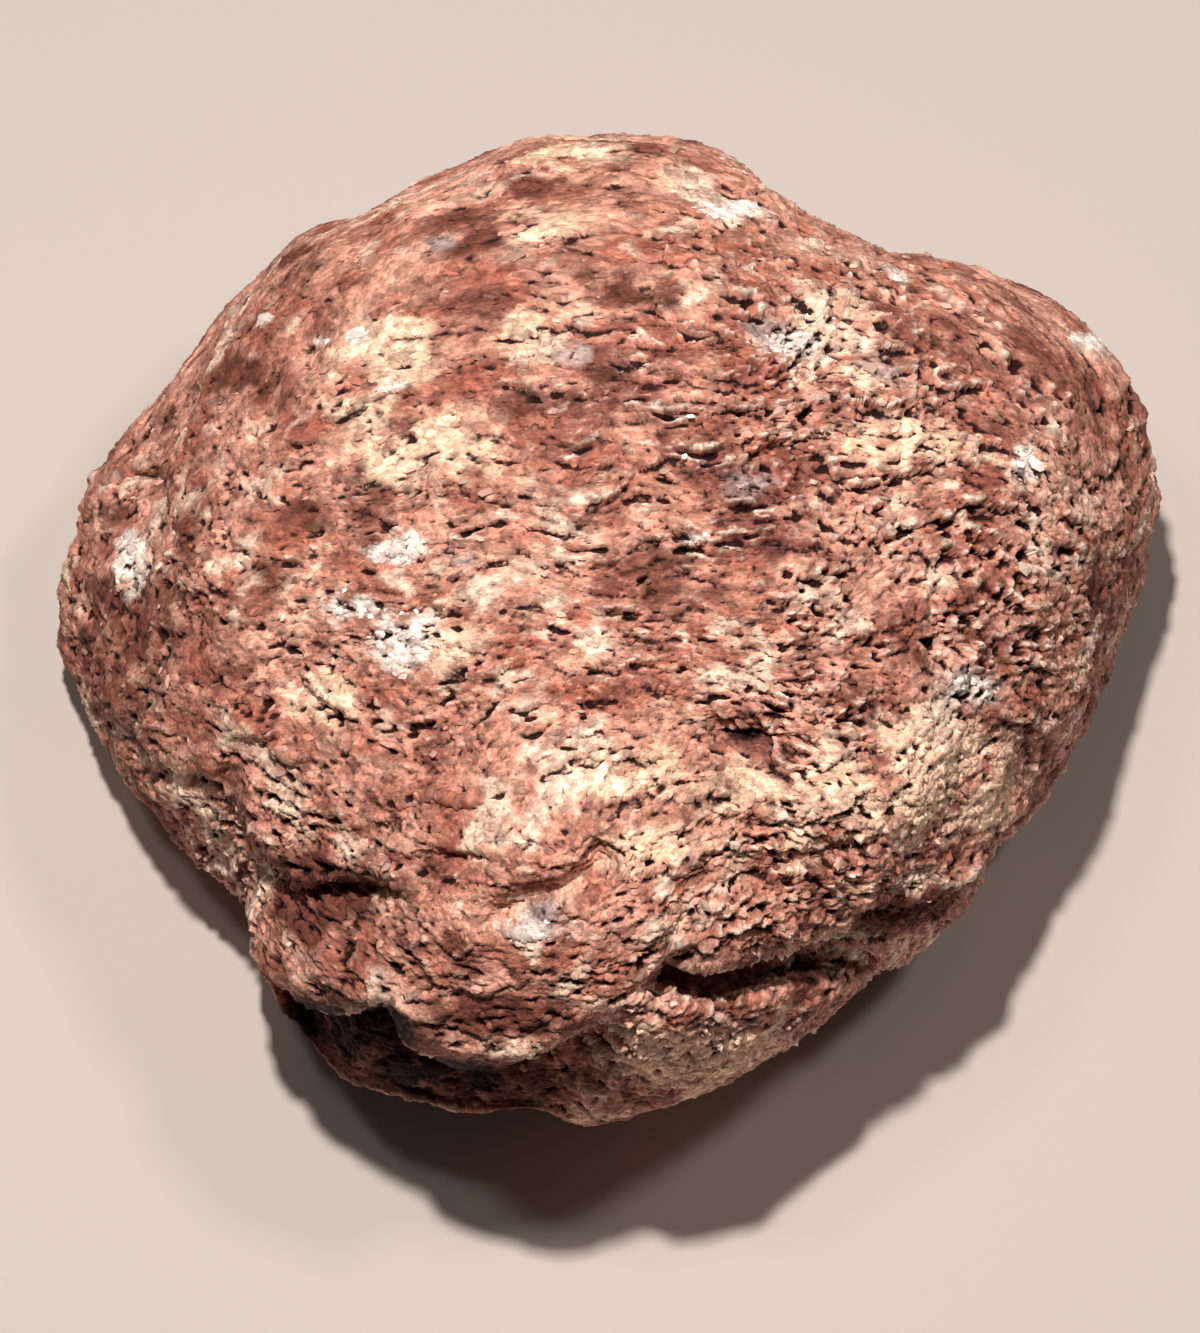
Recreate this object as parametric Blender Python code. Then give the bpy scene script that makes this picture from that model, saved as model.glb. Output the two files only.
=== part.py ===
"""A rough pink amethyst: one loose stone with a rust-stained quartz crust, lying on its small flat spot.

Units are metres, with +Z up. The stone is laid out on its show face, the broad side that it turns up and
forward. "Right" runs along +X, "up" climbs the face, and "out" is the way the face looks.
"""

import itertools
import math

import bmesh
import bpy
import numpy as np

MM = 0.001

# How far the show face looks up from level
FACE_TILT = math.radians(60)
RIGHT = np.array([1.0, 0.0, 0.0])
UP = np.array([0.0, math.sin(FACE_TILT), math.cos(FACE_TILT)])
OUT = np.array([0.0, -math.cos(FACE_TILT), math.sin(FACE_TILT)])

# Depth of the stone in front of its rim and behind it, and how much the rim sinks as it climbs the face
FRONT_DEPTH = 40 * MM
BACK_DEPTH = 31 * MM
RIM_LEAN = -0.36

# How far the rim's left and right ends lie behind its middle, and where they are
RIM_SAG = 24 * MM
RIM_REACH = 60 * MM

# How square the stone's section is: 2 is an ellipse, and larger is boxier
FRONT_SQUARENESS = 2.35
RIGHT_SQUARENESS_GAIN = 0.35
BACK_SQUARENESS = 2.2

# How much of the stone's underside is worn away flat
REST_CUT = 2.5 * MM

# Squares along each edge of the cube that is blown up into the stone
GRID_STEPS = 28

# The rim, clockwise from the right, as right and up on the show face in millimetres
RIM = MM * np.array([
    (62, 19), (61.5, 12.5), (55, -5.5), (53.5, -10), (50, -15.5), (48, -21), (46.5, -23.5),
    (43.5, -25), (41, -30.5), (38.5, -33.5), (34, -36), (31, -37.5), (29, -37.5), (26.5, -40.5),
    (14.5, -48.5), (5, -52.5), (-14, -53), (-28.5, -50), (-33.5, -45), (-38, -38.5), (-40, -32),
    (-47.5, -26), (-51, -20.5), (-53.5, -19), (-55, -16.5), (-57, -15), (-60.5, -4.5), (-61.5, 8.5),
    (-60.5, 16.5), (-54.5, 23), (-52, 25), (-46, 31), (-36, 42.5), (-31.5, 44.5), (-27.5, 45),
    (-12.5, 53), (-1, 54.5), (10.5, 53), (13.5, 52), (18, 48), (20, 47.5), (21.5, 45.5),
    (31, 40.5), (52.5, 36.5), (61.5, 29.5),
])
RIM_SAMPLES = 720

# Samples either way that soften the rim, and those that soften the girth away from it, where notches fade
RIM_BLUR = 3
GIRTH_BLUR = 30
NOTCH_DEPTH = 0.35

# Lumps and hollows of the show face: right, up, half width, half height and rise, in millimetres
SWELLS = {
    "crown": (-15, 24, 21, 17, 2.5),
    "belly": (-6, -31, 18, 12, 5.5),
    "right_shoulder": (50, 24, 10, 12, 2.5),
    "lower_right_lobe": (32, -19, 11, 9.5, 3.5),
    "lens_lump": (15.5, -32, 9, 4.5, 2.5),
    "toe": (10, -45, 12, 5, 2.5),
    "left_bulge": (-46, -7, 5.5, 6, 1.2),
    "left_low_lobe": (-46.5, -21, 7.5, 4, 1.5),
    "lower_left_lobe": (-30.5, -34, 8, 5, 2),
    "low_left_slope": (-41, -31, 11, 10, -6),
    "left_hollow": (-51, 5, 4.5, 12, -5),
    "right_hollow": (35.5, -3.5, 3.5, 2.5, -1.5),
    "right_pit": (14.5, -12.5, 3.5, 1.4, -3.5),
    "deep_hole": (23.5, -38, 4.5, 1.8, -6),
}

# Steps in the show face, high on the left of the way the path runs. Each has the rise above it and the drop
# below it, how far its lip hangs over, how far the rise and the drop are felt, and its path, in millimetres
LEDGES = {
    "belly_lip": (2.5, 15, 2.5, 6, 10, [
        (-43, -29), (-38, -33), (-35.5, -37), (-31.5, -39.5), (-28, -40.5), (-22.5, -41), (-20, -44),
        (-16, -47), (-11, -47), (-6, -45.5), (-2, -43.5), (2, -41)]),
    "left_shelf": (1.4, 3.6, 1, 4, 5, [(-56, -8), (-50.5, -13), (-46.5, -15.5), (-43, -16.5), (-40, -14.5)]),
    "left_valley": (1.8, 4.6, 1.2, 5, 5, [
        (-41, -16.5), (-38, -21.5), (-35.5, -24.5), (-32.5, -26.5), (-28, -27), (-24.5, -27.5), (-19.5, -31)]),
    "hollow_wall": (1.4, 2.8, 0.8, 4, 4, [
        (-58, 14.5), (-55.5, 15.5), (-53.5, 17), (-51, 17), (-48.5, 15), (-47, 12), (-46, 7.5), (-45.5, 3),
        (-44.5, -1)]),
    "plate_edge": (0.6, 0.8, 0.3, 3, 3, [(-33.5, -3), (-32.5, -7), (-30.5, -9), (-28.5, -9.5), (-26, -12)]),
    "left_crack": (0.7, 1, 0.3, 3, 3, [(-42.5, -13), (-38, -13), (-35, -14.5), (-30, -14.5)]),
    "upper_step": (0.5, 0.8, 0.3, 3, 3, [(-24.5, -20), (-18, -19.5), (-11.5, -20)]),
    "lower_step": (0.6, 0.9, 0.3, 3, 3, [(-24, -25.5), (-18.5, -25), (-11, -26)]),
    "lobe_foot": (1.6, 3.5, 1, 4, 5, [(25, -31), (30, -31), (33, -31.5), (37, -30), (42, -27)]),
}

# Half the width of a ledge's wall: the least, and the share of its drop added to that
LEDGE_WALL = 0.5 * MM
WALL_SHARE = 0.09

# How far the features' edges stray, and the length of their bends
RAGGED = 1.6 * MM
RAGGED_LENGTH = 7 * MM
RAGGED_SEED = 3

# Furrows and ridges of the show face: rise, half width and path, in millimetres
FOLDS = {
    "cleft": (-10, 1.7, [
        (2, -41.5), (6, -38), (9, -38.5), (12.5, -39.5), (16.5, -38.5), (20, -37.5), (25.5, -36.5), (31, -36.5)]),
    "lens_brow": (-1.8, 1.5, [(4, -38), (8, -32), (10, -29.5), (14, -27.5), (18.5, -26), (23, -25), (29, -24)]),
    "slant_crack": (-3, 1.6, [(-14, -32.5), (-9.5, -31), (-5, -28.5), (-1.5, -26.5), (2, -24)]),
    "left_ridge": (2.2, 5, [(-47, 14), (-44.5, 6.5), (-42, 1), (-40, -4), (-40.5, -11), (-39, -19)]),
    "saddle": (-2.2, 8, [(31.5, 42), (28.5, 32), (23.5, 22), (19, 10)]),
    "middle_furrow": (-1.5, 4.5, [(-6, 30), (0.5, 20), (5, 11), (6.5, 2), (8, -7), (15, -14)]),
}

# Broad breaks on the hidden side: right, up and out of the way each one looks, and its distance from the
# middle in millimetres
BREAKS = {
    "high_back": (0.15, 0.8, -0.58, 54),
    "left_back": (-0.72, 0.35, -0.6, 58),
    "right_back": (0.72, 0.3, -0.62, 60),
    "low_front": (0.4, -0.7, -0.6, 38),
    "low_left": (-0.6, -0.6, -0.52, 50),
    "under_left": (-0.26, -0.48, -0.84, 36),
    "under_right": (0.26, -0.48, -0.84, 36),
}
BREAK_FLATNESS = 0.75

# Unevenness all over: length of a swell and its height
LUMP_LENGTHS = (26 * MM, 12 * MM)
LUMP_HEIGHTS = (2.6 * MM, 1.4 * MM)
LUMP_SEED = 7


def lattice_dice(lattice, seed):
    """Three random numbers from 0 to 1 for each whole-number place, by multiplying and mixing its bits."""
    x, y, z = lattice.astype(np.uint32).T
    mixed = x * np.uint32(73856093) ^ y * np.uint32(19349663) ^ z * np.uint32(83492791)
    mixed = (mixed ^ np.uint32(seed * 2654435 + 97)) * np.uint32(1274126177)
    mixed = (mixed ^ mixed >> np.uint32(15)) * np.uint32(2246822519)
    mixed ^= mixed >> np.uint32(13)
    return np.stack([mixed >> np.uint32(shift) & np.uint32(1023) for shift in (0, 10, 20)], axis=1) / 1023


def gradient_noise(places, seed):
    """Smooth noise, about -0.7 to 0.7, one value for each row of places, with features one unit across.

    Each corner of the unit cell around a place has a random slope. The slope times the way from the corner
    gives a height, and the eight heights are blended by 6t^5 - 15t^4 + 10t^3 along each axis.
    """
    cell = np.floor(places).astype(np.int64)
    inside = places - cell
    fade = inside**3 * (inside * (inside * 6 - 15) + 10)
    total = np.zeros(len(places))
    for corner in itertools.product((0, 1), repeat=3):
        slope = 2 * lattice_dice(cell + corner, seed) - 1
        weight = np.where(corner, fade, 1 - fade).prod(axis=1)
        total += weight * (slope * (inside - corner)).sum(axis=1)
    return total


def rim_radius(angles, blur):
    """Distance of the rim from the middle of the face at each angle.

    The rim's points are joined by straight lines in angle and radius, then softened by a running mean.
    """
    corner_angles = np.arctan2(RIM[:, 1], RIM[:, 0])
    order = np.argsort(corner_angles)
    corner_radii = np.hypot(RIM[:, 0], RIM[:, 1])
    samples = np.linspace(-math.pi, math.pi, RIM_SAMPLES, endpoint=False)
    radii = np.interp(samples, corner_angles[order], corner_radii[order], period=2 * math.pi)
    shifts = range(-blur, blur + 1)
    radii = sum(np.roll(radii, shift) for shift in shifts) / len(shifts)
    return np.interp(angles, samples, radii, period=2 * math.pi)


def blown_up(directions):
    """Right, up and out of a boxy egg that has the stone's rim.

    A direction that makes the angle p with "out" goes to radius R s and depth D c, where s and c are sin p
    and cos p divided by (|sin p|^m + |cos p|^m)^(1/m). D and m are the depth and squareness in front of the
    rim or behind it. R is the rim's radius, and goes over to the softer girth as exp(-(cos p / notch)^2)
    falls. Then the whole egg leans, and sags by the square of the way across.
    """
    turn = np.arctan2(directions[:, 1], directions[:, 0])
    sine = np.hypot(directions[:, 0], directions[:, 1])
    cosine = directions[:, 2]
    front = cosine > 0
    front_squareness = FRONT_SQUARENESS + RIGHT_SQUARENESS_GAIN * np.cos(turn)
    squareness = np.where(front, front_squareness, BACK_SQUARENESS)
    size = (sine**squareness + np.abs(cosine) ** squareness) ** (1 / squareness)
    near_rim = np.exp(-((cosine / NOTCH_DEPTH) ** 2))
    girth = near_rim * rim_radius(turn, RIM_BLUR) + (1 - near_rim) * rim_radius(turn, GIRTH_BLUR)
    radius = girth * sine / size
    depth = np.where(front, FRONT_DEPTH, BACK_DEPTH) * cosine / size
    across, up = radius * np.cos(turn), radius * np.sin(turn)
    sag = RIM_SAG * (across / RIM_REACH) ** 2
    return np.stack([across, up, depth + RIM_LEAN * up - sag], axis=1)


def smooth_step(values, low, high):
    """0 below low, 1 above high, and 3t^2 - 2t^3 between them."""
    share = np.clip((values - low) / (high - low), 0, 1)
    return share * share * (3 - 2 * share)


def beside_path(flat, path):
    """How each point of the face lies to a path of straight runs: signed distance, fade and the way across.

    The distance is above 0 on the left of the path. The fade is 1 along the path and falls to 0 at its ends.
    The way across is the unit vector from left to right of the nearest run.
    """
    path = MM * np.array(path, dtype=float)
    starts, runs = path[:-1], np.diff(path, axis=0)
    lengths = np.linalg.norm(runs, axis=1)
    reach = flat[:, None, :] - starts
    share = np.clip((reach * runs).sum(axis=2) / lengths**2, 0, 1)
    distances = np.linalg.norm(reach - share[..., None] * runs, axis=2)
    nearest = distances.argmin(axis=1)
    row = np.arange(len(flat))
    run, reach, share = runs[nearest], reach[row, nearest], share[row, nearest]
    side = np.where(run[:, 0] * reach[:, 1] > run[:, 1] * reach[:, 0], 1, -1)
    travelled = (np.cumsum(lengths) - lengths)[nearest] + share * lengths[nearest]
    end_gap = np.minimum(travelled, lengths.sum() - travelled) / lengths.sum()
    across = np.stack([run[:, 1], -run[:, 0]], axis=1) / lengths[nearest, None]
    return side * distances[row, nearest], smooth_step(end_gap, 0, 0.2), across


def carve_face(body, shown):
    """Adds the swells, ledges and folds to the show face, as far as each point is shown.

    A swell is rise exp(-q^2), with q the distance from its middle in half widths. A fold is the same across
    its path. A ledge adds rise exp(-d / above) over its wall, takes off drop exp(-d / below) under it, and
    pushes its lip out over the low side. Noise shifts the places first, so that no edge runs smooth.
    """
    stray = [gradient_noise(body / RAGGED_LENGTH, RAGGED_SEED + axis) for axis in range(2)]
    flat = body[:, :2] + RAGGED * np.column_stack(stray)
    rise = np.zeros(len(body))
    slide = np.zeros_like(flat)
    for right, up, half_width, half_height, height in SWELLS.values():
        q_squared = (((flat / MM - (right, up)) / (half_width, half_height)) ** 2).sum(axis=1)
        rise += MM * height * np.exp(-q_squared)
    for height, half_width, path in FOLDS.values():
        distance, fade, _ = beside_path(flat, path)
        rise += MM * height * fade * np.exp(-((distance / (MM * half_width)) ** 2))
    for lift, drop, overhang, above, below, path in LEDGES.values():
        distance, fade, across = beside_path(flat, path)
        wall = LEDGE_WALL + WALL_SHARE * MM * drop
        high = fade * smooth_step(distance, -wall, wall) * np.exp(-np.abs(distance) / (MM * above))
        low = fade * smooth_step(-distance, -wall, wall) * np.exp(-np.abs(distance) / (MM * below))
        rise += MM * (lift * high - drop * low)
        slide += MM * overhang * high[:, None] * across
    body[:, :2] += shown[:, None] * slide
    body[:, 2] += shown * rise


def break_back(body):
    """Flattens what stands out past each break, and leaves a part of the rise so that no break is a plane."""
    for right, up, out, distance in BREAKS.values():
        normal = np.array([right, up, out])
        normal /= np.linalg.norm(normal)
        excess = np.maximum(body @ normal - MM * distance, 0)
        body -= BREAK_FLATNESS * excess[:, None] * normal


def stone_points(directions):
    """World points of the stone for unit directions given as right, up and out from its middle."""
    body = blown_up(directions)
    shown = smooth_step(directions[:, 2], 0.0, 0.3)
    carve_face(body, shown)
    break_back(body)
    lumps = sum(
        height * gradient_noise(body / length + number, LUMP_SEED)
        for number, (length, height) in enumerate(zip(LUMP_LENGTHS, LUMP_HEIGHTS))
    )
    body += lumps[:, None] * directions
    return body @ np.stack([RIGHT, UP, OUT])


def stand_on_flat_spot(points):
    """Presses the lowest part up to one level, which becomes z = 0, and centres the stone over the origin."""
    rest_level = points[:, 2].min() + REST_CUT
    points[:, 2] = np.maximum(points[:, 2], rest_level)
    lowest, highest = points.min(axis=0), points.max(axis=0)
    return points - [(lowest[0] + highest[0]) / 2, (lowest[1] + highest[1]) / 2, rest_level]


def stone_mesh():
    """A cube with an even grid on its sides, whose points go out to the stone's surface.

    A grid place t, from -1 to 1 along a side, is spread to tan(pi t / 4), which makes the squares nearly
    equal in size once they are on a sphere.
    """
    model = bmesh.new()
    bmesh.ops.create_cube(model, size=2)
    bmesh.ops.subdivide_edges(model, edges=model.edges[:], cuts=GRID_STEPS - 1, use_grid_fill=True)
    places = np.array([vertex.co[:] for vertex in model.verts])
    directions = np.tan(places * math.pi / 4)
    directions /= np.linalg.norm(directions, axis=1)[:, None]
    for vertex, point in zip(model.verts, stand_on_flat_spot(stone_points(directions))):
        vertex.co = point
    bmesh.ops.triangulate(model, faces=model.faces[:])
    bmesh.ops.recalc_face_normals(model, faces=model.faces[:])
    mesh = bpy.data.meshes.new("stone")
    model.to_mesh(mesh)
    model.free()
    mesh.shade_smooth()
    return mesh


def rust_stained_quartz():
    """Dull pinkish brown: grains of quartz in a skin of iron oxide."""
    material = bpy.data.materials.new("rust_stained_quartz")
    material.use_nodes = True
    shader = material.node_tree.nodes["Principled BSDF"]
    shader.inputs["Base Color"].default_value = (0.40, 0.19, 0.13, 1)
    shader.inputs["Roughness"].default_value = 0.85
    shader.inputs["Metallic"].default_value = 0
    return material


def clear_scene():
    for thing in list(bpy.data.objects):
        bpy.data.objects.remove(thing, do_unlink=True)


def main():
    clear_scene()
    stone = bpy.data.objects.new("stone", stone_mesh())
    stone.data.materials.append(rust_stained_quartz())
    bpy.context.scene.collection.objects.link(stone)


main()
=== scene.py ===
"""The looks of a rough pink amethyst: a loose stone in a crust of rust-stained, flaky quartz grains.

The big form is worked out from the same tables as the solid that it dresses. The crust is laid over it in
curved layers: steps, swells, grains and pits in the skin's own mesh, and loose flakes bedded in it.
"""

import itertools
import math

import bpy
import numpy as np
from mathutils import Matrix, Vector


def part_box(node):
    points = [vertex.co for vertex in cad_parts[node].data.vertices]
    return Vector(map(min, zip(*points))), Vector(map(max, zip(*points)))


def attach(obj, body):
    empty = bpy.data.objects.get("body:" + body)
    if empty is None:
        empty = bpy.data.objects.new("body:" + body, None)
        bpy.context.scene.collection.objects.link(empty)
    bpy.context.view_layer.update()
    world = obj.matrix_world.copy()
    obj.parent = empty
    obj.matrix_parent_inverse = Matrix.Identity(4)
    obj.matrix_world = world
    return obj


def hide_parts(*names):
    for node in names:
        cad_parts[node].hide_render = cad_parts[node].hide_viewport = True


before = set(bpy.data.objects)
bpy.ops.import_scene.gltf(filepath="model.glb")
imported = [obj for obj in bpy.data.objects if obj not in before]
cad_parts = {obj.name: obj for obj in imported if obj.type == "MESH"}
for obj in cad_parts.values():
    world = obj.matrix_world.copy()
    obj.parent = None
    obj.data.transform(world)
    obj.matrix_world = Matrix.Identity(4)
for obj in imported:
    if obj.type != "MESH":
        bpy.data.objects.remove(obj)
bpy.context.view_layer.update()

MM = 0.001

# How far the show face looks up from level
FACE_TILT = math.radians(60)
RIGHT = np.array([1.0, 0.0, 0.0])
UP = np.array([0.0, math.sin(FACE_TILT), math.cos(FACE_TILT)])
OUT = np.array([0.0, -math.cos(FACE_TILT), math.sin(FACE_TILT)])
FACE_AXES = np.stack([RIGHT, UP, OUT])

# Depth of the stone in front of its rim and behind it, and how much the rim sinks as it climbs the face
FRONT_DEPTH = 40 * MM
BACK_DEPTH = 31 * MM
RIM_LEAN = -0.36

# How far the rim's left and right ends lie behind its middle, and where they are
RIM_SAG = 24 * MM
RIM_REACH = 60 * MM

# How square the stone's section is: 2 is an ellipse, and larger is boxier
FRONT_SQUARENESS = 2.35
RIGHT_SQUARENESS_GAIN = 0.35
BACK_SQUARENESS = 2.2

# How much of the stone's underside is worn away flat
REST_CUT = 2.5 * MM

# Squares along each edge of the cube that is blown up into the solid, whose low corner places the skin
GRID_STEPS = 28

# The rim, clockwise from the right, as right and up on the show face in millimetres
RIM = MM * np.array([
    (62, 19), (61.5, 12.5), (55, -5.5), (53.5, -10), (50, -15.5), (48, -21), (46.5, -23.5),
    (43.5, -25), (41, -30.5), (38.5, -33.5), (34, -36), (31, -37.5), (29, -37.5), (26.5, -40.5),
    (14.5, -48.5), (5, -52.5), (-14, -53), (-28.5, -50), (-33.5, -45), (-38, -38.5), (-40, -32),
    (-47.5, -26), (-51, -20.5), (-53.5, -19), (-55, -16.5), (-57, -15), (-60.5, -4.5), (-61.5, 8.5),
    (-60.5, 16.5), (-54.5, 23), (-52, 25), (-46, 31), (-36, 42.5), (-31.5, 44.5), (-27.5, 45),
    (-12.5, 53), (-1, 54.5), (10.5, 53), (13.5, 52), (18, 48), (20, 47.5), (21.5, 45.5),
    (31, 40.5), (52.5, 36.5), (61.5, 29.5),
])
RIM_SAMPLES = 720

# Samples either way that soften the rim, and those that soften the girth away from it, where notches fade
RIM_BLUR = 3
GIRTH_BLUR = 30
NOTCH_DEPTH = 0.35

# Lumps and hollows of the show face: right, up, half width, half height and rise, in millimetres
SWELLS = {
    "crown": (-15, 24, 21, 17, 2.5),
    "belly": (-6, -31, 18, 12, 5.5),
    "right_shoulder": (50, 24, 10, 12, 2.5),
    "lower_right_lobe": (32, -19, 11, 9.5, 3.5),
    "lens_lump": (15.5, -32, 9, 4.5, 2.5),
    "toe": (10, -45, 12, 5, 2.5),
    "left_bulge": (-46, -7, 5.5, 6, 1.2),
    "left_low_lobe": (-46.5, -21, 7.5, 4, 1.5),
    "lower_left_lobe": (-30.5, -34, 8, 5, 2),
    "low_left_slope": (-41, -31, 11, 10, -6),
    "left_hollow": (-51, 5, 4.5, 12, -5),
    "right_hollow": (35.5, -3.5, 3.5, 2.5, -1.5),
    "right_pit": (14.5, -12.5, 3.5, 1.4, -3.5),
    "deep_hole": (23.5, -38, 4.5, 1.8, -6),
}

# Steps in the show face, high on the left of the way the path runs. Each has the rise above it and the drop
# below it, how far its lip hangs over, how far the rise and the drop are felt, and its path, in millimetres
LEDGES = {
    "belly_lip": (2.5, 15, 2.5, 6, 10, [
        (-43, -29), (-38, -33), (-35.5, -37), (-31.5, -39.5), (-28, -40.5), (-22.5, -41), (-20, -44),
        (-16, -47), (-11, -47), (-6, -45.5), (-2, -43.5), (2, -41)]),
    "left_shelf": (1.4, 3.6, 1, 4, 5, [(-56, -8), (-50.5, -13), (-46.5, -15.5), (-43, -16.5), (-40, -14.5)]),
    "left_valley": (1.8, 4.6, 1.2, 5, 5, [
        (-41, -16.5), (-38, -21.5), (-35.5, -24.5), (-32.5, -26.5), (-28, -27), (-24.5, -27.5),
        (-19.5, -31)]),
    "hollow_wall": (1.4, 2.8, 0.8, 4, 4, [
        (-58, 14.5), (-55.5, 15.5), (-53.5, 17), (-51, 17), (-48.5, 15), (-47, 12), (-46, 7.5), (-45.5, 3),
        (-44.5, -1)]),
    "plate_edge": (0.6, 0.8, 0.3, 3, 3, [(-33.5, -3), (-32.5, -7), (-30.5, -9), (-28.5, -9.5), (-26, -12)]),
    "left_crack": (0.7, 1, 0.3, 3, 3, [(-42.5, -13), (-38, -13), (-35, -14.5), (-30, -14.5)]),
    "upper_step": (0.5, 0.8, 0.3, 3, 3, [(-24.5, -20), (-18, -19.5), (-11.5, -20)]),
    "lower_step": (0.6, 0.9, 0.3, 3, 3, [(-24, -25.5), (-18.5, -25), (-11, -26)]),
    "lobe_foot": (1.6, 3.5, 1, 4, 5, [(25, -31), (30, -31), (33, -31.5), (37, -30), (42, -27)]),
}

# Half the width of a ledge's wall: the least, and the share of its drop added to that
LEDGE_WALL = 0.5 * MM
WALL_SHARE = 0.09

# How far the features' edges stray, and the length of their bends
RAGGED = 1.6 * MM
RAGGED_LENGTH = 7 * MM
RAGGED_SEED = 3

# Furrows and ridges of the show face: rise, half width and path, in millimetres
FOLDS = {
    "cleft": (-10, 1.7, [
        (2, -41.5), (6, -38), (9, -38.5), (12.5, -39.5), (16.5, -38.5), (20, -37.5), (25.5, -36.5),
        (31, -36.5)]),
    "lens_brow": (-1.8, 1.5, [
        (4, -38), (8, -32), (10, -29.5), (14, -27.5), (18.5, -26), (23, -25), (29, -24)]),
    "slant_crack": (-3, 1.6, [(-14, -32.5), (-9.5, -31), (-5, -28.5), (-1.5, -26.5), (2, -24)]),
    "left_ridge": (2.2, 5, [(-47, 14), (-44.5, 6.5), (-42, 1), (-40, -4), (-40.5, -11), (-39, -19)]),
    "saddle": (-2.2, 8, [(31.5, 42), (28.5, 32), (23.5, 22), (19, 10)]),
    "middle_furrow": (-1.5, 4.5, [(-6, 30), (0.5, 20), (5, 11), (6.5, 2), (8, -7), (15, -14)]),
}

# Broad breaks on the hidden side: right, up and out of the way each one looks, and its distance from the
# middle in millimetres
BREAKS = {
    "high_back": (0.15, 0.8, -0.58, 54),
    "left_back": (-0.72, 0.35, -0.6, 58),
    "right_back": (0.72, 0.3, -0.62, 60),
    "low_front": (0.4, -0.7, -0.6, 38),
    "low_left": (-0.6, -0.6, -0.52, 50),
    "under_left": (-0.26, -0.48, -0.84, 36),
    "under_right": (0.26, -0.48, -0.84, 36),
}
BREAK_FLATNESS = 0.75

# Unevenness all over: length of a swell and its height
LUMP_LENGTHS = (26 * MM, 12 * MM)
LUMP_HEIGHTS = (2.6 * MM, 1.4 * MM)
LUMP_SEED = 7

# Squares along each edge of the cube that becomes the visible skin, and how much finer its show face is
SKIN_STEPS = 256
FACE_FINENESS = 0.6

# The skin's pieces: low left, high left, low right and high right
SKIN_PIECES = ("skin_low_left", "skin_high_left", "skin_low_right", "skin_high_right")

# The quartz layers: arches about a line this far down the face, how they dip into the stone and waver
ARCH_DROP = 90 * MM
LAYER_DIP = 0.5
LAYER_WAVER = 4 * MM
WAVER_LENGTH = 24 * MM
WAVER_SEED = 21

# Grains lie along the layers: how much longer they are along, across and into them
GRAIN_STRETCH = np.array([1.9, 1.0, 1.5])

# How rough the smoothest and the roughest crust are
SMOOTHEST, ROUGHEST = 0.4, 1.3

# Steps at the layers' lower edges: the layers' thickness and the steps' rise, and the share of the rise that
# goes with the crust's roughness
LAYER_STEPS = ((5.5 * MM, 0.95 * MM), (2.5 * MM, 0.6 * MM), (1.2 * MM, 0.34 * MM))
STEP_ROUGH_SHARE = 0.6

# How far the steps' edges bend in long waves and stray in short ones, and the waves' lengths in thicknesses
STEP_BEND = 1.4
STEP_BEND_STRETCH = np.array([3.5, 2.2, 3.0])
STEP_BEND_SEED = 31
STEP_STRAY = 0.45
STEP_STRAY_STRETCH = np.array([0.7, 0.5, 0.7])
STEP_STRAY_SEED = 36

# Steps fade in and out: over what length in thicknesses, up to what noise either way, and from where in it
STEP_SHOW_STRETCH = 4
STEP_SHOW_EDGE = 0.25
STEP_SHOW_SHIFT = 9.5
STEP_SHOW_SEED = 41

# Swells between the steps: length across the layers, and rise
SWELL_NOISE = ((9 * MM, 1.4 * MM), (4 * MM, 0.7 * MM))
SWELL_SEED = 41

# Grains: length across the layers, and rise. Each leans out at its lower edge, twists at random, and sinks
# to the gaps around it
GRAINS = ((1.7 * MM, 0.44 * MM), (0.9 * MM, 0.34 * MM), (0.5 * MM, 0.21 * MM))
GRAIN_LEAN = 0.9
GRAIN_TWIST = 1.6
GRAIN_GAP = (-0.05, 0.15)
GRAIN_SEED = 51

# Pits: the noises that bound them, each with its length across the layers and weight, how much longer they
# are along, across and into the layers, where they start and are full, and their depth
PIT_NOISES = ((2.2 * MM, 0.9), (1.1 * MM, 0.9), (0.55 * MM, 0.6))
PIT_STRETCH = np.array([3.4, 1.0, 1.6])
PIT_START, PIT_FULL = 0.25, 0.55
PIT_DEPTH = 1.2 * MM
PIT_SEED = 57

# Rounds of blur that part the fine relief from the form around it
RELIEF_BLUR_ROUNDS = 14

# Patches of rough crust on the show face: right, up, half width and half height in millimetres, and strength
ROUGH_PATCHES = (
    (22, 20, 26, 22, 1.0), (42, 5, 14, 18, 1.0), (10, 30, 16, 12, 0.8), (-12, -8, 22, 8, 0.6),
    (18, -5, 18, 14, 0.8), (22, -30, 18, 10, 0.8), (10, -44, 12, 5, 0.8), (-52, 2, 8, 16, 0.6),
    (-34, -26, 12, 10, 0.8), (-20, 10, 14, 8, 0.5),
)

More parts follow.
